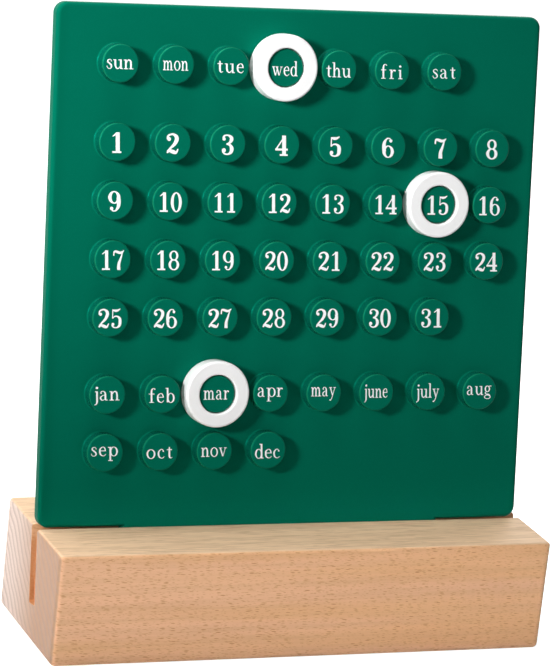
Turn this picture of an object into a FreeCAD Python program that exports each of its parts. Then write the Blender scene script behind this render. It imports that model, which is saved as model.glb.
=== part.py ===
import FreeCAD, Part
import math
import os
import re
import Sketcher

# Perpetual desk calendar: a beech block, a panel of pegs that leans in a slot
# of the block, and three rings that mark a weekday, a date and a month.
# Millimetres. The origin is the centre of the block's underside, +X is to the
# right of the reader and +Y is away from the reader.

SIZES = {
    # beech block
    "block_width": 183,
    "block_depth": 61,
    "block_height": 40,
    "block_round": 2,
    "block_top_round": 1.2,
    # slanted slot along the block; its mouth is placed by the panel's front face,
    # and the panel, free to slide along it, stands a little to the left
    "lean_angle": 9.5,
    "panel_ahead": 3.3,
    "panel_aside": 1,
    "slot_depth": 26.5,
    "slot_clearance": 0.2,
    "slot_floor_round": 1.2,
    # moulded panel and the tongue that stands in the slot
    "panel_width": 180.4,
    "panel_height": 180,
    "panel_thickness": 5.6,
    "panel_corner": 4,
    "panel_edge_round": 1.4,
    "shoulder_gap": 0.3,
    "tongue_width": 119,
    "tongue_corner": 4,
    "tongue_foot": 6,
    # hollow back of the panel and the cover let into it
    "front_wall": 2.2,
    "rim_wall": 2.4,
    "ledge_width": 1.6,
    "cover_thickness": 1.6,
    "cover_clearance": 0.15,
    # grid of pegs: seven rows from the left column, in groups for weekdays, dates and months
    "column_count": 8,
    "left_margin": 21.5,
    "right_margin": 18.9,
    "top_margin": 20.1,
    "bottom_margin": 26.7,
    "group_space": 6.6,
    # one peg, hollow from the back, and its gap to the next
    "peg_gap": 7,
    "peg_height": 5.3,
    "peg_edge_round": 0.5,
    "peg_base_round": 0.6,
    "peg_wall": 1.9,
    "peg_cap_wall": 2,
    # marker ring, and its gap to the next peg
    "ring_clearance": 0.3,
    "ring_gap": 1.9,
    "ring_thickness": 6.4,
    "ring_face_round": 0.8,
    "ring_hole_round": 0.6,
    "ring_back_round": 0.6,
    "ring_relief": 0.9,
    # cover screws, the bosses they turn into and their cross recess
    "screw_length": 7,
    "screw_radius": 1,
    "screw_head_radius": 2,
    "screw_tip_length": 1,
    "screw_tip_radius": 0.4,
    "screw_clearance": 0.05,
    "screw_hole_clearance": 0.2,
    "screw_bottom_gap": 0.6,
    "boss_radius": 2.6,
    "recess_span": 2.4,
    "recess_width": 0.5,
    "recess_depth": 0.7,
}

# Sizes that follow from those above; the grid fills the panel inside its margins.
DERIVED = {
    "column_pitch": "(panel_width - left_margin - right_margin) / (column_count - 1)",
    "row_pitch": "(panel_height - top_margin - bottom_margin - 2 * group_space) / 6",
    "peg_radius": "(min(column_pitch; row_pitch) - peg_gap) / 2",
    "ring_hole_radius": "peg_radius + ring_clearance",
    "ring_radius": "peg_radius + peg_gap - ring_gap",
}

# Pegs in each row from the top, and how far each row lies below the weekdays.
ROW_PEGS = (7, 8, 8, 8, 7, 8, 4)
ROW_DROPS = ("0", "row_pitch + group_space", "2 * row_pitch + group_space",
             "3 * row_pitch + group_space", "4 * row_pitch + group_space",
             "5 * row_pitch + 2 * group_space", "6 * row_pitch + 2 * group_space")

# Rows above and pegs to the left of each peg that holds a cover screw, or has a ring.
SCREW_PEG_COUNTS = ((0, 1), (0, 6), (2, 0), (2, 7), (3, 3), (3, 4), (5, 0), (5, 2), (5, 5), (5, 7))
RING_PEG_COUNTS = ((0, 3), (2, 6), (5, 2))
RING_NAMES = ("weekday_ring", "date_ring", "month_ring")

doc = FreeCAD.newDocument("desk_calendar")
sheet = doc.addObject("Spreadsheet::Sheet", "Sizes")
formulas = {name: "=" + text for name, text in DERIVED.items()}
for line, (name, value) in enumerate({**SIZES, **formulas}.items(), start=1):
    sheet.set(f"A{line}", name)
    sheet.setAlias(f"B{line}", name)
    sheet.set(f"B{line}", str(value))
doc.recompute()


def bound(text):
    """The expression with every size's name pointing at its cell."""
    return re.sub(r"[a-z]+(?:_[a-z]+)+", lambda found: "Sizes." + found.group(), text)


def number(text):
    """The value that an expression has now."""
    return float(sheet.evalExpression(bound(text)))


def peg_place(row, column):
    """Expressions for a peg's centre on the panel: across, and up from the block's top."""
    across = f"left_margin - panel_width / 2 + {column} * column_pitch"
    up = f"shoulder_gap + panel_height - top_margin - ({ROW_DROPS[row]})"
    return across, up


def new_body(label):
    body = doc.addObject("PartDesign::Body", label)
    body.Label = label
    return body


def new_sketch(body, name, plane, shift=None, turn=None):
    """A sketch on one of the body's own planes, moved and turned by expressions."""
    sketch = body.newObject("Sketcher::SketchObject", name)
    support = next(item for item in body.Origin.OriginFeatures if item.Role == plane)
    sketch.AttachmentSupport = [(support, "")]
    sketch.MapMode = "FlatFace"
    for axis, text in (shift or {}).items():
        sketch.setExpression("AttachmentOffset.Base." + axis, bound(text))
    if turn:
        sketch.setExpression("AttachmentOffset.Rotation.Angle", bound(turn) + " * 1 deg")
    doc.recompute()
    return sketch


def hold(sketch, kind, geometry, point, text):
    """Bind one point's distance from the sketch's origin to an expression."""
    if text == "0":
        axis = -2 if kind == "DistanceX" else -1
        sketch.addConstraint(Sketcher.Constraint("PointOnObject", geometry, point, axis))
        return
    row = sketch.addConstraint(Sketcher.Constraint(kind, -1, 1, geometry, point, number(text)))
    sketch.setExpression(f"Constraints[{row}]", bound(text))


def draw_outline(sketch, corners):
    """A closed outline of straight lines through corners given as expressions."""
    points = [FreeCAD.Vector(number(x), number(y), 0) for x, y in corners]
    ends = points[1:] + points[:1]
    sketch.addGeometry([Part.LineSegment(a, b) for a, b in zip(points, ends)], False)
    count = len(points)
    for index in range(count):
        following = (index + 1) % count
        sketch.addConstraint(Sketcher.Constraint("Coincident", index, 2, following, 1))
    for index, (x, y) in enumerate(corners):
        hold(sketch, "DistanceX", index, 1, x)
        hold(sketch, "DistanceY", index, 1, y)


def draw_circles(sketch, places, radius):
    """Circles of one radius at places given as expressions."""
    for index, (x, y) in enumerate(places):
        centre = FreeCAD.Vector(number(x), number(y), 0)
        sketch.addGeometry(Part.Circle(centre, FreeCAD.Vector(0, 0, 1), number(radius)), False)
        hold(sketch, "DistanceX", index, 3, x)
        hold(sketch, "DistanceY", index, 3, y)
        if index:
            sketch.addConstraint(Sketcher.Constraint("Equal", 0, index))
    row = sketch.addConstraint(Sketcher.Constraint("Radius", 0, number(radius)))
    sketch.setExpression(f"Constraints[{row}]", bound(radius))


def extrude(body, kind, name, sketch, length, reverse=False, both_ways=False):
    """A Pad or a Pocket of the sketch; raises if the body's volume stays the same."""
    before = body.Shape.Volume if body.Tip else 0
    feature = body.newObject("PartDesign::" + kind, name)
    feature.Profile = sketch
    feature.setExpression("Length", bound(length))
    feature.Reversed = reverse
    feature.Midplane = both_ways
    doc.recompute()
    if math.isclose(before, body.Shape.Volume):
        raise RuntimeError(name + " changed nothing")
    return feature


def revolve(body, name, sketch):
    """A full turn of the sketch about its own upright axis."""
    feature = body.newObject("PartDesign::Revolution", name)
    feature.Profile = sketch
    feature.ReferenceAxis = (sketch, ["V_Axis"])
    feature.Angle = 360
    doc.recompute()
    return feature


def edges_where(feature, wanted):
    """Names of the feature's edges whose sample points all pass a test."""
    names = []
    for index, edge in enumerate(feature.Shape.Edges, start=1):
        if not edge.Degenerated and all(wanted(point) for point in edge.discretize(5)):
            names.append(f"Edge{index}")
    return names


def circles_where(feature, radius, level):
    """Names of the feature's round edges of one radius that lie at one depth."""
    names = []
    for index, edge in enumerate(feature.Shape.Edges, start=1):
        if isinstance(edge.Curve, Part.Circle) and near(edge.Curve.Radius, radius):
            if near(edge.Curve.Center.y, level):
                names.append(f"Edge{index}")
    return names


def dress(body, kind, name, base, edges, size):
    """A Fillet or a Chamfer of the named edges."""
    feature = body.newObject("PartDesign::" + kind, name)
    feature.Base = (base, edges)
    feature.setExpression("Radius" if kind == "Fillet" else "Size", bound(size))
    doc.recompute()
    return feature


def near(a, text):
    """True where a coordinate has the value of an expression."""
    return math.isclose(a, number(text), rel_tol=0, abs_tol=1e-5 * SIZES["panel_width"])


def round_corners(body, base, radii):
    """Round the edges that run through the thickness at corners (x, z), one size at a time."""
    feature = base
    for index, (size, corners) in enumerate(radii.items(), start=1):
        names = edges_where(feature, lambda point: any(
            near(abs(point.x), x) and near(point.z, z) for x, z in corners))
        feature = dress(body, "Fillet", f"{body.Label}_corners_{index}", feature, names, size)
    return feature


def panel_placement(across="0", up="0"):
    """Where a piece of the panel stands: leaning back, from the panel's front face."""
    lean = FreeCAD.Rotation(FreeCAD.Vector(1, 0, 0), -number("lean_angle"))
    foot = FreeCAD.Vector(-number("panel_aside"), -number("panel_ahead"), number("block_height"))
    offset = FreeCAD.Placement(FreeCAD.Vector(number(across), 0, number(up)), FreeCAD.Rotation())
    return FreeCAD.Placement(foot, lean) * offset


def t_outline(inset, foot):
    """The panel and its tongue, drawn in by an inset, with the tongue's end raised."""
    side = f"panel_width / 2 - ({inset})"
    top = f"shoulder_gap + panel_height - ({inset})"
    shoulder = f"shoulder_gap + ({inset})"
    tongue = f"tongue_width / 2 - ({inset})"
    end = f"{foot} - slot_depth"
    right = [(side, top), (side, shoulder), (tongue, shoulder), (tongue, end)]
    left = [(f"-({x})", y) for x, y in reversed(right)]
    return right + left


def make_base_block():
    """Beech block, its arrises rounded, with the slot cut from end to end."""
    body = new_body("base_block")
    plan = new_sketch(body, "block_plan", "XY_Plane")
    side, front = "block_width / 2", "block_depth / 2"
    draw_outline(plan, [(side, front), (f"-{side}", front), (f"-{side}", f"-{front}"), (side, f"-{front}")])
    blank = extrude(body, "Pad", "block_blank", plan, "block_height")
    uprights = edges_where(blank, lambda point: near(abs(point.x), side) and near(abs(point.y), front))
    underside = edges_where(blank, lambda point: near(point.z, "0"))
    eased = dress(body, "Fillet", "block_arrises", blank, uprights + underside, "block_round")
    rim = edges_where(eased, lambda point: near(point.z, "block_height"))
    dress(body, "Fillet", "block_top_arris", eased, rim, "block_top_round")
    section = new_sketch(body, "slot_section", "YZ_Plane",
                         {"x": "-panel_ahead", "y": "block_height"}, "-lean_angle")
    near_wall, far_wall = "-slot_clearance", "panel_thickness + slot_clearance"
    draw_outline(section, [(near_wall, "slot_depth"), (far_wall, "slot_depth"),
                           (far_wall, "-slot_depth"), (near_wall, "-slot_depth")])
    slot = extrude(body, "Pocket", "slot", section, "2 * block_width", both_ways=True)
    lean = math.radians(number("lean_angle"))

    def on_floor_corner(point):
        ahead = point.y + number("panel_ahead")
        up = point.z - number("block_height")
        depth = up * math.cos(lean) + ahead * math.sin(lean)
        return near(depth, "-slot_depth")

    corners = [name for name in edges_where(slot, on_floor_corner)
               if slot.Shape.getElement(name).Length > number("block_width / 2")]
    dress(body, "Fillet", "slot_floor", slot, corners, "slot_floor_round")
    return body


def make_front_shell():
    """Moulded panel with its pegs in one piece, hollow from the back."""
    body = new_body("front_shell")
    face = new_sketch(body, "panel_outline", "XZ_Plane")
    draw_outline(face, t_outline("0", "0"))
    slab = extrude(body, "Pad", "panel_slab", face, "panel_thickness", reverse=True)
    side, tongue = "panel_width / 2", "tongue_width / 2"
    top, shoulder = "shoulder_gap + panel_height", "shoulder_gap"
    rounded = round_corners(body, slab, {
        "panel_corner": [(side, top), (side, shoulder)],
        "tongue_corner": [(tongue, "-slot_depth")],
    })
    rim = edges_where(rounded, lambda point: near(point.y, "0") or near(point.y, "panel_thickness"))
    dress(body, "Fillet", "panel_edges", rounded, rim, "panel_edge_round")

    back = {"z": "-panel_thickness"}
    seat = new_sketch(body, "cover_seat_outline", "XZ_Plane", back)
    draw_outline(seat, t_outline("rim_wall", "tongue_foot"))
    extrude(body, "Pocket", "cover_seat", seat, "cover_thickness", reverse=True)
    hollow = new_sketch(body, "hollow_outline", "XZ_Plane", back)
    draw_outline(hollow, t_outline("rim_wall + ledge_width", "tongue_foot + ledge_width"))
    extrude(body, "Pocket", "hollow", hollow, "panel_thickness - front_wall", reverse=True)

    pegs = [peg_place(row, column) for row, count in enumerate(ROW_PEGS) for column in range(count)]
    peg_plan = new_sketch(body, "peg_plan", "XZ_Plane")
    draw_circles(peg_plan, pegs, "peg_radius")
    standing = extrude(body, "Pad", "pegs", peg_plan, "peg_height")
    faces = circles_where(standing, "peg_radius", "-peg_height")
    eased = dress(body, "Fillet", "peg_faces", standing, faces, "peg_edge_round")
    feet = circles_where(eased, "peg_radius", "0")
    dress(body, "Fillet", "peg_feet", eased, feet, "peg_base_round")
    core_plan = new_sketch(body, "core_plan", "XZ_Plane", {"z": "-front_wall"})
    draw_circles(core_plan, pegs, "peg_radius - peg_wall")
    extrude(body, "Pocket", "cores", core_plan, "front_wall + peg_height - peg_cap_wall", reverse=True)

    screws = [peg_place(row, column) for row, column in SCREW_PEG_COUNTS]
    seat_level = {"z": "cover_thickness - panel_thickness"}
    boss_plan = new_sketch(body, "boss_plan", "XZ_Plane", seat_level)
    draw_circles(boss_plan, screws, "boss_radius")
    boss_length = "panel_thickness - cover_thickness + peg_height - peg_cap_wall"
    extrude(body, "Pad", "bosses", boss_plan, boss_length)
    pilot_plan = new_sketch(body, "pilot_plan", "XZ_Plane", seat_level)
    draw_circles(pilot_plan, screws, "screw_radius + screw_clearance")
    extrude(body, "Pocket", "pilots", pilot_plan,
            "screw_length - cover_thickness + screw_bottom_gap", reverse=True)
    body.Placement = panel_placement()
    return body


def make_back_cover():
    """Flat plate that closes the back, countersunk for its screws."""
    body = new_body("back_cover")
    inset = "rim_wall + cover_clearance"
    outline = new_sketch(body, "cover_outline", "XZ_Plane", {"z": "-panel_thickness"})
    draw_outline(outline, t_outline(inset, "tongue_foot + cover_clearance"))
    extrude(body, "Pad", "cover_plate", outline, "cover_thickness")
    holes = new_sketch(body, "cover_hole_plan", "XZ_Plane", {"z": "-panel_thickness"})
    hole_radius = "screw_radius + screw_hole_clearance"
    draw_circles(holes, [peg_place(*place) for place in SCREW_PEG_COUNTS], hole_radius)
    drilled = extrude(body, "Pocket", "cover_holes", holes, "cover_thickness", reverse=True)
    mouths = circles_where(drilled, hole_radius, "panel_thickness")
    dress(body, "Chamfer", "countersinks", drilled, mouths, "screw_head_radius - screw_radius")
    body.Placement = panel_placement()
    return body


def make_cover_screw(label, place):
    """Countersunk screw with a cross recess, its head flush with the cover."""
    body = new_body(label)
    profile = new_sketch(body, label + "_profile", "XY_Plane")
    head_end = "panel_thickness - screw_head_radius + screw_radius"
    tip = "panel_thickness - screw_length"
    draw_outline(profile, [("0", "panel_thickness"), ("screw_head_radius", "panel_thickness"),
                           ("screw_radius", head_end), ("screw_radius", f"{tip} + screw_tip_length"),
                           ("screw_tip_radius", tip), ("0", tip)])
    revolve(body, label + "_blank", profile)
    cross = new_sketch(body, label + "_cross", "XZ_Plane", {"z": "-panel_thickness"})
    arm, half = "recess_span / 2", "recess_width / 2"
    quarter = [(arm, f"-{half}"), (arm, half), (half, half)]
    turns = [lambda x, y: (x, y), lambda x, y: (f"-({y})", x),
             lambda x, y: (f"-({x})", f"-({y})"), lambda x, y: (y, f"-({x})")]
    draw_outline(cross, [turn(x, y) for turn in turns for x, y in quarter])
    extrude(body, "Pocket", label + "_recess", cross, "recess_depth", reverse=True)
    body.Placement = panel_placement(*place)
    return body


def make_ring(label, place):
    """Round ring that slips over a peg, its back relieved to clear the peg's foot."""
    body = new_body(label)
    profile = new_sketch(body, label + "_profile", "XY_Plane")
    hole, rim, face = "ring_hole_radius", "ring_radius", "-ring_thickness"
    draw_outline(profile, [(hole, "0"), (rim, "0"), (rim, face), (hole, face)])
    blank = revolve(body, label + "_blank", profile)

    feature = blank
    for step, kind, radius, level, size in (
            ("face_outer", "Fillet", rim, face, "ring_face_round"),
            ("face_inner", "Fillet", hole, face, "ring_hole_round"),
            ("back_outer", "Fillet", rim, "0", "ring_back_round"),
            ("back_inner", "Chamfer", hole, "0", "ring_relief")):
        edges = circles_where(feature, radius, level)
        feature = dress(body, kind, f"{label}_{step}", feature, edges, size)
    body.Placement = panel_placement(*place)
    return body


pieces = [make_base_block(), make_front_shell(), make_back_cover()]
for index, place in enumerate(SCREW_PEG_COUNTS, start=1):
    pieces.append(make_cover_screw(f"cover_screw_{index}", peg_place(*place)))
for label, place in zip(RING_NAMES, RING_PEG_COUNTS):
    pieces.append(make_ring(label, peg_place(*place)))
doc.recompute()

for item in doc.Objects:
    if "Invalid" in item.State or "Error" in item.State:
        raise RuntimeError(item.Label + " failed")
for piece in pieces:
    if piece.Shape.isNull() or not piece.Shape.isValid() or len(piece.Shape.Solids) != 1:
        raise RuntimeError(piece.Label + " is not one good solid")

os.makedirs("parts", exist_ok=True)
for piece in pieces:
    piece.Shape.exportStep(f"parts/{piece.Label}.step")
    print(f"{piece.Label}: {piece.Shape.Volume:.1f} mm3")
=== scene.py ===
import math

import bpy
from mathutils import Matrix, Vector


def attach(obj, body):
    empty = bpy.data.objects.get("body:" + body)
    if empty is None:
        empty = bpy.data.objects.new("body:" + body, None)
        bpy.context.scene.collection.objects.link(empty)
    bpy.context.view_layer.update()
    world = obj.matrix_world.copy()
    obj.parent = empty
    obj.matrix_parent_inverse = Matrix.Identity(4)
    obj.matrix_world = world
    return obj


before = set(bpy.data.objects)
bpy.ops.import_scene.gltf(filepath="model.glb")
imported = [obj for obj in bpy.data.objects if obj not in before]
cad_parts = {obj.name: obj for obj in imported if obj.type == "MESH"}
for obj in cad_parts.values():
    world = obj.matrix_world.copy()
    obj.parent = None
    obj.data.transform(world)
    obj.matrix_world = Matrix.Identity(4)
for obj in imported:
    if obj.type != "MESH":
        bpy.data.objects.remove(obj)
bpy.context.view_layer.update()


# Beech block. One piece of pale steamed beech, sawn, sanded and oiled, with its
# arrises eased and a slot milled from end to end at the lean of the panel.
BLOCK_HEIGHT = 0.040
LEAN = math.radians(9.5)
PANEL_AHEAD = 0.0033
SLOT_DEPTH = 0.0265
SLOT_MIDDLE = 0.0028
SLOT_HALF_WIDTH = 0.00303
SLOT_BLUR = 0.00005
SLOT_FLOOR_FROM = -SLOT_DEPTH - 0.0001
SLOT_FLOOR_TO = -SLOT_DEPTH - 0.00003
SLOT_SHADE_FROM = -0.001
SLOT_SHADE_FULL = -0.006
RING_SPACING = 0.0036
RING_WAVER = 1.6 * RING_SPACING
RING_TILT = math.radians(-50.7)
END_WARM_AT = -0.012
END_PALE_AT = 0.024
FLECK_FALL = math.tan(math.radians(4))
FLECK_DRIFT = 0.0012
# each layer: length and height of a fleck's cell, its greatest size in the cell, its depth
FLECK_LAYERS = (
    (0.0052, 0.00092, 0.24, 0.95),
    (0.0040, 0.00075, 0.22, 0.70),
    (0.0046, 0.00080, 0.21, 0.60))
BEECH_ROSY = (0.88, 0.525, 0.315)
BEECH_SANDY = (0.86, 0.50, 0.255)
BEECH_DARK = (0.68, 0.37, 0.19)
BEECH_FLECK = (0.54, 0.225, 0.07)
# painted light: the top is drawn paler than the front, for the light and sheen on it
BEECH_TOP_LIT = (0.89, 0.615, 0.395)
BEECH_TOP_LINE = (0.64, 0.41, 0.245)
BEECH_END_PALE = (0.78, 0.63, 0.55)
BEECH_END_WARM = (0.51, 0.295, 0.18)
BEECH_END_DARK = (0.40, 0.27, 0.21)
# painted shade: the dark orange of the slot's walls and floor
BEECH_SLOT_SHADE = (0.67, 0.285, 0.105)


def node_tools(tree):
    """A function that adds a node to a tree, and one that sets or links a socket."""
    def add(kind, settings=None, **inputs):
        node = tree.nodes.new("ShaderNode" + kind)
        for key, value in (settings or {}).items():
            setattr(node, key, value)
        for key, value in inputs.items():
            put(node.inputs[int(key[1:]) if key[0] == "_" else key], value)
        return node

    def put(socket, value):
        if isinstance(value, bpy.types.NodeSocket):
            tree.links.new(value, socket)
        elif isinstance(value, bpy.types.Node):
            tree.links.new(value.outputs[0], socket)
        elif isinstance(value, tuple) and len(value) == 3 and socket.type == "RGBA":
            socket.default_value = (*value, 1)
        else:
            socket.default_value = value

    return add, put


def new_material(name):
    """A material, its shader, and the functions that add to its tree."""
    material = bpy.data.materials.new(name)
    material.use_nodes = True
    tree = material.node_tree
    return material, tree.nodes["Principled BSDF"], *node_tools(tree)


def maths(add, operation, first, second=0.0, third=0.0):
    return add("Math", {"operation": operation}, _0=first, _1=second, _2=third).outputs[0]


def weighted_sum(add, first, first_weight, second, second_weight):
    rest = maths(add, "MULTIPLY", second, second_weight)
    return maths(add, "MULTIPLY_ADD", first, first_weight, rest)


def blend_colours(add, share, first, second):
    return add("Mix", {"data_type": "RGBA"}, _0=share, _6=first, _7=second).outputs[2]


def smooth_range(add, value, low, high, to_low=0.0, to_high=1.0):
    node = add("MapRange", {"interpolation_type": "SMOOTHSTEP"}, _0=value, _1=low, _2=high,
               _3=to_low, _4=to_high)
    return node.outputs[0]


def drawn_noise(add, place, scales, **settings):
    """Noise with its own scale along X, Y and Z, so that it is drawn out along the grain."""
    stretched = add("Mapping", Vector=place, Scale=scales)
    return add("TexNoise", Vector=stretched, Scale=1.0, **settings).outputs[0]


def along_panel(add, y, z):
    """How far a point lies behind the panel's face, and how far up it from the slot's mouth."""
    ahead = maths(add, "ADD", y, PANEL_AHEAD)
    above = maths(add, "SUBTRACT", z, BLOCK_HEIGHT)
    behind = weighted_sum(add, above, -math.sin(LEAN), ahead, math.cos(LEAN))
    up = weighted_sum(add, above, math.cos(LEAN), ahead, math.sin(LEAN))
    return behind, up


def growth_rings(add, place, y, z):
    """Dark late wood of the rings: planes along the grain, tilted across the block, a little wavy."""
    wave = drawn_noise(add, place, (4, 60, 60), Detail=2.0)
    across = weighted_sum(add, y, math.cos(RING_TILT), z, math.sin(RING_TILT))
    wavy = maths(add, "MULTIPLY_ADD", wave, RING_WAVER, across)
    ring = maths(add, "FRACT", maths(add, "DIVIDE", wavy, RING_SPACING))
    darker = smooth_range(add, ring, 0.35, 0.9)
    return maths(add, "MULTIPLY", darker, smooth_range(add, ring, 0.9, 1.0, 1.0, 0.0))


def ray_flecks(add, place, x, z):
    """Rays cut across on the front and the back: short brown flecks that fall to the right."""
    drift = drawn_noise(add, place, (25, 25, 90), Detail=1.0)
    row = maths(add, "MULTIPLY_ADD", x, FLECK_FALL, maths(add, "MULTIPLY_ADD", drift, FLECK_DRIFT, z))
    flecks = 0.0
    for length, height, reach, depth in FLECK_LAYERS:
        cells = add("CombineXYZ", _0=maths(add, "DIVIDE", x, length), _1=maths(add, "DIVIDE", row, height))
        spot = add("TexVoronoi", {"voronoi_dimensions": "2D"}, Vector=cells, Scale=1.0, Randomness=0.95)
        chance = add("SeparateColor", Color=spot.outputs["Color"]).outputs
        size = maths(add, "MULTIPLY_ADD", chance[0], reach * 0.7, reach * 0.3)
        from_middle = maths(add, "DIVIDE", spot.outputs["Distance"], size)
        inside = smooth_range(add, from_middle, 0.5, 1.1, 1.0, 0.0)
        brown = maths(add, "MULTIPLY_ADD", chance[1], depth * 0.6, depth * 0.4)
        flecks = maths(add, "MAXIMUM", flecks, maths(add, "MULTIPLY", inside, brown))
    return flecks


def slot_shade_mask(add, y, z):
    """Painted shade in the slot: 1 on its walls and floor, less near its top edge, and 0 on the rest of
    the block.
    """
    behind, up = along_panel(add, y, z)
    aside = maths(add, "ABSOLUTE", maths(add, "SUBTRACT", behind, SLOT_MIDDLE))
    walls = smooth_range(add, aside, SLOT_HALF_WIDTH, SLOT_HALF_WIDTH + SLOT_BLUR, 1.0, 0.0)
    walls = maths(add, "MULTIPLY", walls, smooth_range(add, up, SLOT_FLOOR_FROM, SLOT_FLOOR_TO))
    shade = smooth_range(add, up, SLOT_SHADE_FULL, SLOT_SHADE_FROM, 1.0, 0.2)
    return maths(add, "MULTIPLY", walls, shade)


def beech():
    material, shader, add, put = new_material("oiled_beech")
    place = add("TexCoord").outputs["Object"]
    x, y, z = add("SeparateXYZ", Vector=place).outputs
    facing = add("SeparateXYZ", Vector=add("TexCoord").outputs["Normal"]).outputs
    end_face = smooth_range(add, maths(add, "ABSOLUTE", facing[0]), 0.55, 0.9)
    side_face = smooth_range(add, maths(add, "ABSOLUTE", facing[1]), 0.45, 0.85)
    level_face = smooth_range(add, maths(add, "ABSOLUTE", facing[2]), 0.6, 0.95)
    late = growth_rings(add, place, y, z)
    flecks = maths(add, "MULTIPLY", ray_flecks(add, place, x, z), side_face)

    # fibres along the grain, from hair lines to broad soft bands
    fibre = drawn_noise(add, place, (35, 1500, 1500), Detail=3.0, Roughness=0.6)
    grain = drawn_noise(add, place, (9, 330, 330), Detail=3.0, Roughness=0.55)
    band = drawn_noise(add, place, (5, 90, 90), Detail=1.0)
    streak = weighted_sum(add, fibre, 0.45, grain, 0.55)

    # the front and the back: warm, with streaks and flecks
    side = blend_colours(add, smooth_range(add, band, 0.35, 0.65), BEECH_ROSY, BEECH_SANDY)
    side = blend_colours(add, smooth_range(add, streak, 0.3, 0.62, 0.5, 0.0), side, BEECH_DARK)
    side = blend_colours(add, maths(add, "MULTIPLY", late, 0.14), side, BEECH_DARK)
    side = blend_colours(add, flecks, side, BEECH_FLECK)

    # quartered grain of the top and the underside: fine wavy lines, greyer, on a ground drawn paler than
    # the front as painted light
    line = drawn_noise(add, place, (80, 1200, 1200), Detail=2.5, Distortion=1.0)
    top = blend_colours(add, smooth_range(add, line, 0.38, 0.54, 0.75, 0.0), BEECH_TOP_LIT, BEECH_TOP_LINE)
    top = blend_colours(add, smooth_range(add, grain, 0.35, 0.6, 0.35, 0.0), top, BEECH_TOP_LINE)
    wood = blend_colours(add, level_face, side, top)

    # end grain: pale, warmer towards the front, with its rings drawn dark
    pore = drawn_noise(add, place, (300, 3200, 3200), Detail=2.0)
    warmth = smooth_range(add, y, END_WARM_AT, END_PALE_AT, 1.0, 0.0)
    end = blend_colours(add, warmth, BEECH_END_PALE, BEECH_END_WARM)
    end = blend_colours(add, smooth_range(add, pore, 0.3, 0.7, 0.25, 0.0), end, BEECH_END_DARK)
    end = blend_colours(add, maths(add, "MULTIPLY", late, 0.6), end, BEECH_END_DARK)
    wood = blend_colours(add, end_face, wood, end)

    # painted shade in the slot: its walls and floor drawn darker and more orange, most of all away from
    # the top edge, and speckled
    speckle = add("TexNoise", Vector=place, Scale=1400.0, Detail=2.0).outputs[0]
    cut = blend_colours(add, smooth_range(add, speckle, 0.35, 0.65, 0.4, 0.0), BEECH_SLOT_SHADE, BEECH_DARK)
    put(shader.inputs["Base Color"], blend_colours(add, slot_shade_mask(add, y, z), wood, cut))

    put(shader.inputs["Roughness"], smooth_range(add, streak, 0.3, 0.7, 0.62, 0.5))
    height = maths(add, "SUBTRACT", streak, maths(add, "MULTIPLY", flecks, 0.5))
    put(shader.inputs["Normal"], add("Bump", Strength=0.25, Distance=0.00008, Height=height))
    shader.inputs["Specular IOR Level"].default_value = 0.35
    return material


def finish_node(name, material):
    """Give a carried-over CAD node its finish."""
    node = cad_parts[name]
    node.data.materials.clear()
    node.data.materials.append(material)


finish_node("base_block", beech())


# Front shell. Panel and pegs are one moulding in green plastic, with the fine
# even satin of a spark-eroded mould and every edge rounded.
GREEN = (0.0005, 0.130, 0.0775)
GREEN_DEEP = (0.0005, 0.1205, 0.070)
# painted highlight on the rims of the pegs, and painted shade on their walls
GREEN_RIM_HIGHLIGHT = (0.007, 0.170, 0.085)
GREEN_WALL_SHADE = (0.0005, 0.098, 0.063)
GREEN_SHEEN = (0.0, 1.0, 0.8, 1)
WALL_SHADE_FROM = 0.0003
WALL_SHADE_TO = 0.0006
HIGHLIGHT_FROM = 0.0044
HIGHLIGHT_TO = 0.0047
FACE_FROM = 0.00505
FACE_TO = 0.00525
SHEEN_TO = 0.0860
MATT_FROM = 0.0885


def moulded_green(name, light, deep):
    material, shader, add, put = new_material(name)
    place = add("TexCoord").outputs["Object"]
    x, y, z = add("SeparateXYZ", Vector=place).outputs
    cloud = add("TexNoise", Vector=place, Scale=14.0, Detail=2.0).outputs[0]
    texture = add("TexNoise", Vector=place, Scale=3600.0, Detail=1.5).outputs[0]
    green = blend_colours(add, cloud, light, deep)

    # painted shade on the walls of the pegs, drawn a little deeper, and a painted highlight on their
    # rounded rims, drawn paler; the faces keep the lighter tone
    behind, up = along_panel(add, y, z)
    proud = maths(add, "MULTIPLY", behind, -1.0)
    face = smooth_range(add, proud, FACE_FROM, FACE_TO)
    green = blend_colours(add, smooth_range(add, proud, WALL_SHADE_FROM, WALL_SHADE_TO), green, GREEN_WALL_SHADE)
    green = blend_colours(add, face, green, light)
    edge = smooth_range(add, proud, HIGHLIGHT_FROM, HIGHLIGHT_TO)
    rim_highlight = maths(add, "MULTIPLY", edge, maths(add, "SUBTRACT", 1.0, face))
    put(shader.inputs["Base Color"], blend_colours(add, rim_highlight, green, GREEN_RIM_HIGHLIGHT))
    put(shader.inputs["Roughness"], smooth_range(add, texture, 0.3, 0.7, 0.22, 0.30))
    put(shader.inputs["Normal"], add("Bump", Strength=0.12, Distance=0.00002, Height=texture))

    # the sheen dies away at the rounded side edges, which are matt
    aside = maths(add, "ABSOLUTE", x)
    put(shader.inputs["Specular IOR Level"], smooth_range(add, aside, SHEEN_TO, MATT_FROM, 0.12, 0.01))
    shader.inputs["Specular Tint"].default_value = GREEN_SHEEN
    return material


finish_node("front_shell", moulded_green("moulded_green_front", GREEN, GREEN_DEEP))


# Back cover. A flat moulded plate in the same green, a shade duller, let into the
# back of the shell to close it and held there by ten screws.
GREEN_DULL = (0.0005, 0.108, 0.063)
finish_node("back_cover", moulded_green("moulded_green_cover", GREEN_DEEP, GREEN_DULL))


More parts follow.
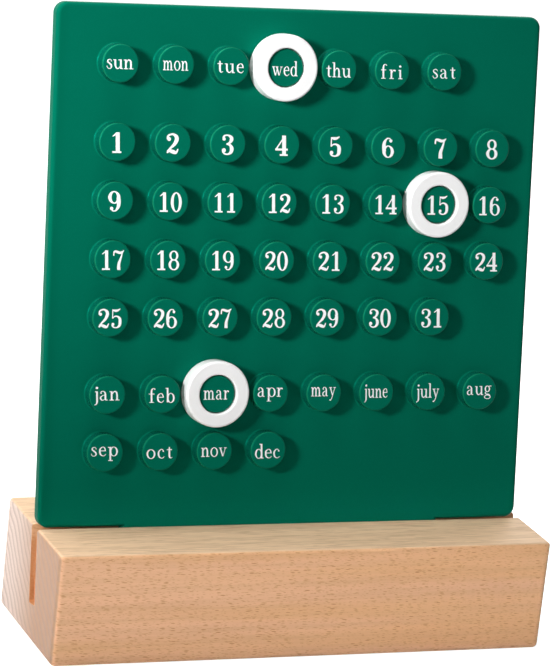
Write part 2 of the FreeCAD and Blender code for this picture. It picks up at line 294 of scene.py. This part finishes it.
# Cover screws. Small countersunk screws in zinc-plated steel with a cross recess,
# driven through the back cover into the shell.
STEEL_GREY = (0.55, 0.56, 0.58)
STEEL_PALE = (0.70, 0.70, 0.68)


def plated_steel():
    material, shader, add, put = new_material("zinc_plated_steel")
    place = add("TexCoord").outputs["Object"]
    bloom = add("TexNoise", Vector=place, Scale=2500.0, Detail=2.0).outputs[0]
    put(shader.inputs["Base Color"], blend_colours(add, bloom, STEEL_GREY, STEEL_PALE))
    put(shader.inputs["Roughness"], smooth_range(add, bloom, 0.3, 0.7, 0.25, 0.4))
    shader.inputs["Metallic"].default_value = 1.0
    return material


steel = plated_steel()
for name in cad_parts:
    if name.startswith("cover_screw"):
        finish_node(name, steel)


# Legends. The weekdays, dates and months are printed in opaque white ink on the faces
# of the pegs: bold figures with ball ends, and names in small letters of a book face.
# Shapes are drawn for figures 1 high and for letters whose small x is 1 high.
INK_THIN = (0.92, 0.94, 0.94)
INK_FULL = (0.96, 0.97, 0.97)
INK_PROUD = 0.00003
INK_SUNK = 0.00001
ONE_FIGURE = {"height": 0.0070, "breadth": 1.0, "weight": 0.95}
TWO_FIGURES = {"height": 0.0067, "breadth": 0.93, "weight": 0.84}
LETTER = {"height": 0.0033, "breadth": 1.0, "weight": 0.84}
FIGURE_ADVANCE = 0.00455
FIGURE_ASIDE = -0.0002
FIGURE_DROP = 0.0002
LETTER_ASIDE = -0.0003
LETTER_DROP = 0.00025
LETTER_GAP = 0.00036
MOST_STRETCH = 1.12
UPRIGHT_SLANT = -0.045
PANEL_ASIDE = -0.0010
PEG_HEIGHT = 0.0053
PEG_PITCH = 0.020
FIRST_PEG = -0.0687
ROW_HEIGHTS = (0.1602, 0.1336, 0.1136, 0.0936, 0.0736, 0.0470, 0.0270)
WORD_WIDTHS = {        # in millimetres
    "sun": 9.55, "mon": 9.1, "tue": 9.8, "wed": 9.4, "thu": 9.2, "fri": 8.25, "sat": 8.9,
    "jan": 9.2, "feb": 9.5, "mar": 9.4, "apr": 9.55, "may": 9.3, "june": 9.0, "july": 8.9,
    "aug": 9.7, "sep": 9.8, "oct": 9.5, "nov": 9.4, "dec": 9.4}
PEN_STEPS = 6
OVAL_SIDES = 32

# a dot is x, y, radius; a bar is left, bottom, right, top; an oval is x, y, half width, half height,
# side, top; a pen line is a row of points of x, y, breadth
FIGURES = {
    "0": (.64, (.32, .5, .32, .51, .2, .07)),
    "1": (.46, (.17, .04, .38, 1), (0, 0, .46, .08), ((.02, .80, .05), (.25, .96, .10))),
    "2": (.62, (.14, .72, .1),
          ((.05, .70, .08), (.10, .88, .10), (.32, .96, .10), (.50, .86, .19), (.53, .70, .21),
           (.42, .48, .17), (.2, .27, .10), (.06, .12, .10)),
          ((.03, .05, .08), (.15, .15, .14), (.35, .10, .20), (.5, .07, .12), (.6, .25, .05))),
    "3": (.62, (.14, .78, .09), (.13, .22, .11),
          ((.08, .82, .07), (.16, .93, .09), (.32, .965, .07), (.5, .88, .16), (.53, .75, .19),
           (.44, .6, .12), (.27, .53, .06)),
          ((.27, .53, .06), (.45, .48, .13), (.54, .32, .2), (.5, .14, .17), (.34, .035, .08),
           (.16, .06, .09), (.06, .18, .08))),
    "4": (.66, (.36, 0, .57, 1), (0, .26, .66, .36), (.24, 0, .66, .08),
          ((.50, .97, .05), (.05, .33, .07))),
    "5": (.64, (.13, .2, .1), ((.14, .93, .08), (.28, .90, .15), (.42, .92, .12), (.56, 1.0, .05)),
          ((.13, .97, .06), (.11, .5, .06)),
          ((.11, .5, .05), (.22, .6, .07), (.38, .61, .10), (.52, .5, .18), (.54, .32, .2), (.5, .14, .17),
           (.34, .035, .08), (.16, .06, .09), (.06, .16, .08))),
    "6": (.64, (.33, .3, .31, .31, .18, .06), (.47, .84, .09),
          ((.46, .94, .07), (.28, .95, .07), (.13, .75, .17), (.10, .5, .2), (.12, .3, .2))),
    "7": (.62, ((.56, .95, .05), (.42, .55, .13), (.33, .3, .19), (.32, 0, .22)),
          ((.03, .72, .07), (.07, .93, .10), (.2, .93, .15), (.4, .88, .15), (.55, .93, .10),
           (.62, 1.0, .05))),
    "8": (.62, (.31, .745, .26, .26, .14, .07), (.31, .28, .31, .285, .17, .07)),
    "9": (.64, (.31, .7, .31, .31, .18, .06), (.17, .16, .09),
          ((.18, .06, .07), (.36, .05, .07), (.51, .25, .17), (.54, .5, .2), (.52, .7, .2))),
}
STEM = (.1, 0, .3, .97)
TALL_STEM = (.1, 0, .3, 1.56)
HEAD = (0, .88, .2, .97)
TALL_HEAD = (0, 1.47, .2, 1.56)
FOOT = (0, 0, .42, .085)
FAR_FOOT = (.56, 0, .96, .085)
ARCH = ((.26, .66, .08), (.45, .93, .12), (.64, .88, .18), (.72, .6, .2), (.72, 0, .2))
LETTERS = {
    "a": (.86, (.14, .78, .09),
          ((.08, .8, .06), (.2, .95, .09), (.38, .97, .09), (.53, .82, .17), (.56, .6, .2)),
          ((.56, .6, .2), (.56, .2, .2), (.63, .05, .12), (.78, .07, .06)),
          ((.55, .6, .07), (.3, .52, .09), (.11, .35, .15), (.12, .14, .17), (.27, .03, .1),
           (.45, .1, .07), (.56, .22, .06))),
    "b": (.92, (.12, .04, .32, 1.56), (.02, 1.47, .2, 1.56), (.53, .5, .38, .52, .2, .08)),
    "c": (.71, (.58, .78, .09),
          ((.62, .75, .08), (.5, .94, .1), (.36, .97, .09), (.15, .75, .17), (.11, .5, .2), (.17, .2, .17),
           (.38, .04, .1), (.55, .08, .08), (.68, .22, .05))),
    "d": (.88, (.39, .5, .38, .52, .2, .08), (.58, 0, .78, 1.56), (.47, 1.47, .66, 1.56),
          (.7, 0, .88, .085)),
    "e": (.74, (.12, .53, .7, .61),
          ((.66, .6, .13), (.56, .9, .13), (.38, .97, .08), (.15, .78, .16), (.11, .5, .2), (.17, .2, .18),
           (.4, .04, .1), (.56, .08, .08), (.7, .24, .05))),
    "f": (.66, (.18, 0, .38, 1.2), (.6, 1.43, .08), (.03, .88, .56, .97), (.06, 0, .52, .085),
          ((.28, 1.1, .2), (.32, 1.38, .16), (.46, 1.51, .09), (.6, 1.47, .08))),
    "g": (.86, (.38, .66, .31, .35, .16, .08), (.38, -.22, .38, .23, .1, .08),
          ((.56, .88, .08), (.68, .98, .1), (.86, .95, .12)),
          ((.26, .36, .07), (.13, .22, .11), (.26, .09, .13), (.52, .06, .14), (.68, -.08, .14))),
    "h": (.96, TALL_STEM, TALL_HEAD, FOOT, FAR_FOOT, ARCH),
    "i": (.42, STEM, HEAD, FOOT, (.2, 1.32, .14)),
    "j": (.44, (.1, .88, .3, .97), (.3, 1.32, .14),
          ((.3, .97, .2), (.3, .4, .2), (.3, -.12, .2), (.22, -.36, .13), (.02, -.48, .06))),
    "l": (.42, TALL_STEM, TALL_HEAD, FOOT),
    "m": (1.4, STEM, HEAD, FOOT, (.5, 0, .86, .085), (.96, 0, 1.36, .085),
          ((.26, .68, .08), (.42, .93, .12), (.59, .87, .17), (.66, .6, .19), (.66, 0, .19)),
          ((.70, .68, .08), (.86, .93, .12), (1.05, .87, .17), (1.12, .6, .19), (1.12, 0, .19))),
    "n": (.96, STEM, HEAD, FOOT, FAR_FOOT, ARCH),
    "o": (.9, (.45, .49, .44, .51, .2, .09)),
    "p": (.98, (.12, -.49, .32, .97), HEAD, (.01, -.5, .46, -.42), (.56, .49, .4, .51, .2, .08)),
    "r": (.66, STEM, HEAD, FOOT, (.56, .86, .1), ((.26, .64, .08), (.4, .9, .12), (.56, .92, .12))),
    "s": (.6,
          ((.52, .72, .05), (.48, .88, .07), (.34, .96, .09), (.16, .87, .13), (.14, .7, .16),
           (.32, .54, .19), (.47, .38, .18), (.5, .2, .15), (.4, .06, .1), (.2, .03, .08),
           (.09, .12, .07), (.05, .3, .05))),
    "t": (.58, (.03, .88, .54, .97),
          ((.28, 1.22, .1), (.28, .9, .2), (.28, .3, .2), (.32, .1, .16), (.44, .05, .09),
           (.57, .13, .05))),
    "u": (.96, (.66, 0, .86, .97), HEAD, (.52, .88, .7, .97), (.8, 0, .96, .085),
          ((.2, .96, .2), (.2, .4, .2), (.3, .1, .17), (.5, .06, .12), (.7, .3, .07))),
    "v": (.88, (0, .89, .37, .97), (.58, .89, .88, .97), ((.14, .95, .2), (.44, .04, .16)),
          ((.75, .95, .08), (.46, .03, .08))),
    "w": (1.28, (0, .89, .35, .97), (.42, .89, .74, .97), (.99, .89, 1.28, .97),
          ((.14, .95, .19), (.4, .04, .15)), ((.66, .92, .08), (.42, .03, .08)),
          ((.56, .95, .19), (.84, .04, .15)), ((1.14, .95, .08), (.86, .03, .08))),
    "y": (.88, (0, .89, .37, .97), (.58, .89, .88, .97), (.12, -.4, .09),
          ((.14, .95, .2), (.46, .06, .15)),
          ((.75, .95, .08), (.46, .1, .1), (.3, -.28, .1), (.12, -.44, .1))),
}


def pen_line(path, weight):
    """Outline of a line that runs smoothly through its points and changes in breadth."""
    ends = (path[0], *path, path[-1])
    left = []
    right = []
    for number in range(len(path) - 1):
        # a cubic from one point to the next, led by the points on either side of them
        near = ends[number:number + 4]
        closing = 1 if number == len(path) - 2 else 0
        for step in range(PEN_STEPS + closing):
            t = step / PEN_STEPS
            weights = (-t + 2*t**2 - t**3, 2 - 5*t**2 + 3*t**3, t + 4*t**2 - 3*t**3, t**3 - t**2)
            slopes = (-1 + 4*t - 3*t**2, 9*t**2 - 10*t, 1 + 8*t - 9*t**2, 3*t**2 - 2*t)
            x, y, breadth = (sum(w * p[axis] for w, p in zip(weights, near)) / 2 for axis in range(3))
            run = Vector([sum(s * p[axis] for s, p in zip(slopes, near)) for axis in range(2)])
            along = run.normalized()
            aside = Vector((-along.y, along.x)) * breadth * weight / 2
            left.append((x + aside.x, y + aside.y))
            right.append((x - aside.x, y - aside.y))
    return left + right[::-1]


def oval(x, y, half_width, half_height):
    turns = [math.tau * side / OVAL_SIDES for side in range(OVAL_SIDES)]
    return [(x + half_width * math.cos(turn), y + half_height * math.sin(turn)) for turn in turns]


def outlines(stroke, weight):
    """The closed outlines of one stroke, thinned to the weight of its type."""
    if isinstance(stroke[0], tuple):
        return [pen_line(stroke, weight)]
    if len(stroke) == 3:
        x, y, radius = stroke
        return [oval(x, y, radius * weight, radius * weight)]
    if len(stroke) == 6:
        x, y, half_width, half_height, side, top = stroke
        return [oval(x, y, half_width, half_height),
                oval(x, y, half_width - side * weight, half_height - top * weight)]
    left, bottom, right, top = stroke
    if top - bottom > right - left:
        slimmer = (right - left) * (1 - weight) / 2
        left, right = left + slimmer, right - slimmer
    return [[(left, bottom), (right, bottom), (right, top), (left, top)]]


def printed_shape(character, size):
    """One figure or letter, its strokes joined in one flat closed solid of ink."""
    shape = None
    for stroke in (FIGURES | LETTERS)[character][1:]:
        curve = bpy.data.curves.new("stroke_" + character, "CURVE")
        curve.dimensions = "2D"
        curve.fill_mode = "BOTH"
        curve.extrude = (INK_PROUD + INK_SUNK) / 2
        for outline in outlines(stroke, size["weight"]):
            spline = curve.splines.new("POLY")
            spline.points.add(len(outline) - 1)
            for point, (x, y) in zip(spline.points, outline):
                aside = x * size["breadth"] + y * UPRIGHT_SLANT
                point.co = (aside * size["height"], y * size["height"], 0, 1)
            spline.use_cyclic_u = True
        piece = bpy.data.objects.new(curve.name, curve)
        bpy.context.collection.objects.link(piece)
        bpy.ops.object.select_all(action="DESELECT")
        piece.select_set(True)
        bpy.context.view_layer.objects.active = piece
        bpy.ops.object.convert(target="MESH")
        bpy.ops.object.mode_set(mode="EDIT")
        bpy.ops.mesh.select_all(action="SELECT")
        bpy.ops.mesh.remove_doubles(threshold=1e-7)
        bpy.ops.mesh.normals_make_consistent(inside=False)
        bpy.ops.object.mode_set(mode="OBJECT")
        piece = bpy.context.object
        if shape is None:
            shape = piece
            continue
        bpy.context.view_layer.objects.active = shape
        union = shape.modifiers.new("union", "BOOLEAN")
        union.operation = "UNION"
        union.solver = "EXACT"
        union.object = piece
        bpy.ops.object.modifier_apply(modifier=union.name)
        bpy.data.objects.remove(piece)
    return shape


def lay_out(word):
    """The size of type of a number or a name, its stretch, and where each shape and its base go."""
    if word.isdigit():
        size = ONE_FIGURE if len(word) == 1 else TWO_FIGURES
        widths = [FIGURES[figure][0] * size["height"] * size["breadth"] for figure in word]
        starts = [FIGURE_ADVANCE * (place - (len(word) - 1) / 2) - width / 2 + FIGURE_ASIDE
                  for place, width in enumerate(widths)]
        return size, 1.0, starts, -size["height"] / 2 - FIGURE_DROP
    size = LETTER
    widths = [LETTERS[letter][0] * size["height"] for letter in word]
    reach = WORD_WIDTHS[word] / 1000
    stretch = min(MOST_STRETCH, reach / (sum(widths) + LETTER_GAP * (len(word) - 1)))
    gap = (reach - sum(widths) * stretch) / (len(word) - 1)
    starts = [sum(widths[:place]) * stretch + gap * place - reach / 2 + LETTER_ASIDE
              for place in range(len(word))]
    heights = [y for letter in word for stroke in LETTERS[letter][1:] for outline in outlines(stroke, 1.0)
               for x, y in outline]
    return size, stretch, starts, -(min(heights) + max(heights)) / 2 * size["height"] - LETTER_DROP


def white_ink():
    material, shader, add, put = new_material("white_ink")
    place = add("TexCoord").outputs["Object"]
    cover = add("TexNoise", Vector=place, Scale=1500.0, Detail=2.0).outputs[0]
    put(shader.inputs["Base Color"], blend_colours(add, cover, INK_THIN, INK_FULL))
    put(shader.inputs["Roughness"], smooth_range(add, cover, 0.3, 0.7, 0.45, 0.6))
    return material


ink = white_ink()
drawn = {}


def print_legends(name, lines, first_row):
    """One group of words on its rows of pegs, joined in one piece that rides on the panel."""
    out = PEG_HEIGHT + (INK_PROUD - INK_SUNK) / 2
    copies = []
    for row, line in enumerate(lines, first_row):
        for column, word in enumerate(line.split()):
            size, stretch, starts, base = lay_out(word)
            up = ROW_HEIGHTS[row] + base
            for character, start in zip(word, starts):
                key = (character, size["weight"], size["height"])
                if key not in drawn:
                    drawn[key] = printed_shape(character, size)
                copy = drawn[key].copy()
                copy.data = copy.data.copy()
                copy.location = (FIRST_PEG + PEG_PITCH * column + PANEL_ASIDE + start,
                                 -PANEL_AHEAD - out * math.cos(LEAN) + up * math.sin(LEAN),
                                 BLOCK_HEIGHT + out * math.sin(LEAN) + up * math.cos(LEAN))
                copy.rotation_euler = (math.pi / 2 - LEAN, 0, 0)
                copy.scale = (stretch, 1, 1)
                bpy.context.collection.objects.link(copy)
                copies.append(copy)
    bpy.ops.object.select_all(action="DESELECT")
    for copy in copies:
        copy.select_set(True)
    bpy.context.view_layer.objects.active = copies[0]
    bpy.ops.object.transform_apply(location=True, rotation=True, scale=True)
    bpy.ops.object.join()
    legends = bpy.context.object
    legends.name = legends.data.name = name
    legends.data.materials.append(ink)
    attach(legends, "panel")


print_legends("weekday_legends", ["sun mon tue wed thu fri sat"], 0)
print_legends("date_legends", ["1 2 3 4 5 6 7 8", "9 10 11 12 13 14 15 16",
                               "17 18 19 20 21 22 23 24", "25 26 27 28 29 30 31"], 1)
print_legends("month_legends", ["jan feb mar apr may june july aug", "sep oct nov dec"], 5)
for shape in drawn.values():
    bpy.data.objects.remove(shape)


# Marker rings. Three like rings turned out in white plastic, with a soft gloss. Each
# slips over a peg by hand and rests there, round today's weekday, date or month.
WHITE_SHADE = (0.92, 0.92, 0.915)
WHITE_PALE = (0.95, 0.95, 0.95)


def white_plastic():
    material, shader, add, put = new_material("white_plastic")
    place = add("TexCoord").outputs["Object"]
    cloud = add("TexNoise", Vector=place, Scale=90.0, Detail=2.0).outputs[0]
    put(shader.inputs["Base Color"], blend_colours(add, cloud, WHITE_SHADE, WHITE_PALE))
    put(shader.inputs["Roughness"], smooth_range(add, cloud, 0.3, 0.7, 0.3, 0.38))
    return material


white = white_plastic()
for name in ("weekday_ring", "date_ring", "month_ring"):
    finish_node(name, white)


# The surroundings: a pale table, a key lamp on the left whose pool of light falls on the
# panel, a low strip of light on the block, and wide dim lamps before, above and behind.
TABLE_SIZE = 12
TABLE_GREY = (0.7, 0.7, 0.7)
TABLE_GLOW = 0.93
GLOW_COLOUR = (1.0, 1.0, 1.0)
SKY_LIGHT = 0.03
SKY_SEEN = 1.0


def seen_directly(add):
    """1 for what the camera sees, plainly, mirrored or through glass, and 0 for light that falls."""
    path = add("LightPath").outputs
    mirrored = maths(add, "MAXIMUM", path["Is Glossy Ray"], path["Is Transmission Ray"])
    return maths(add, "MAXIMUM", path["Is Camera Ray"], mirrored)


bpy.ops.object.select_all(action="DESELECT")
bpy.ops.mesh.primitive_plane_add(size=TABLE_SIZE, location=(0, 0, 0))
floor = bpy.context.object
floor.name = "floor"
material, shader, add, put = new_material("pale_table")
put(shader.inputs["Base Color"], TABLE_GREY)
put(shader.inputs["Emission Color"], GLOW_COLOUR)
put(shader.inputs["Emission Strength"], maths(add, "MULTIPLY", seen_directly(add), TABLE_GLOW))
shader.inputs["Roughness"].default_value = 0.8
shader.inputs["Specular IOR Level"].default_value = 0.0
floor.data.materials.append(material)

world = bpy.data.worlds.new("studio")
bpy.context.scene.world = world
world.use_nodes = True
add, put = node_tools(world.node_tree)
background = world.node_tree.nodes["Background"]
put(background.inputs["Color"], GLOW_COLOUR)
put(background.inputs["Strength"], smooth_range(add, seen_directly(add), 0.0, 1.0, SKY_LIGHT, SKY_SEEN))


def aimed_lamp(name, kind, place, aim, power):
    light = bpy.data.lights.new(name, kind)
    light.energy = power
    lamp = bpy.data.objects.new(name, light)
    lamp.location = place
    lamp.rotation_euler = (Vector(aim) - Vector(place)).to_track_quat("-Z", "Y").to_euler()
    bpy.context.collection.objects.link(lamp)
    return light


def pool_lamp(name, place, aim, radius, spread, power):
    """A lamp with a soft-edged pool of light, brightest where it is aimed."""
    light = aimed_lamp(name, "SPOT", place, aim, power)
    light.shadow_soft_size = radius
    light.spot_size = math.radians(spread)
    light.spot_blend = 1.0


def wide_lamp(name, place, aim, size, power):
    light = aimed_lamp(name, "AREA", place, aim, power)
    light.shape = "DISK"
    light.size = size


def strip_lamp(name, place, aim, size, spread, power):
    """A long low lamp whose light leaves it in one narrow beam."""
    light = aimed_lamp(name, "AREA", place, aim, power)
    light.shape = "RECTANGLE"
    light.size, light.size_y = size
    light.spread = math.radians(spread)


pool_lamp("key", place=(-0.833, -0.478, 0.481), aim=(-0.070, 0.025, 0.200), radius=0.10, spread=22.8,
          power=62.0)
strip_lamp("low", place=(-0.375, -0.480, 0.023), aim=(0, 0, 0.022), size=(0.24, 0.046), spread=3,
           power=0.0126)
wide_lamp("front", place=(-0.35, -1.0, 0.50), aim=(0, 0, 0.12), size=0.5, power=0.85)
wide_lamp("overhead", place=(-0.25, 0.10, 0.87), aim=(0, 0, 0.13), size=0.6, power=6.4)
wide_lamp("back_left", place=(-0.75, 0.85, 0.60), aim=(0, 0, 0.10), size=0.7, power=3.5)
wide_lamp("back_right", place=(0.75, 0.70, 0.60), aim=(0, 0, 0.10), size=0.7, power=3.5)

# The camera stands where the photograph was taken from, a little left of the object.
CAMERA_LENS = 188.51
CAMERA_PLACE = (-0.45606, -1.07316, 0.43692)
CAMERA_TURN = (74.1527, -6.0315, -20.8417)
lens = bpy.data.cameras.new("camera")
lens.lens = CAMERA_LENS
camera = bpy.data.objects.new("camera", lens)
camera.location = CAMERA_PLACE
camera.rotation_euler = [math.radians(angle) for angle in CAMERA_TURN]
bpy.context.collection.objects.link(camera)
bpy.context.scene.camera = camera
bpy.context.scene.view_settings.view_transform = "Standard"
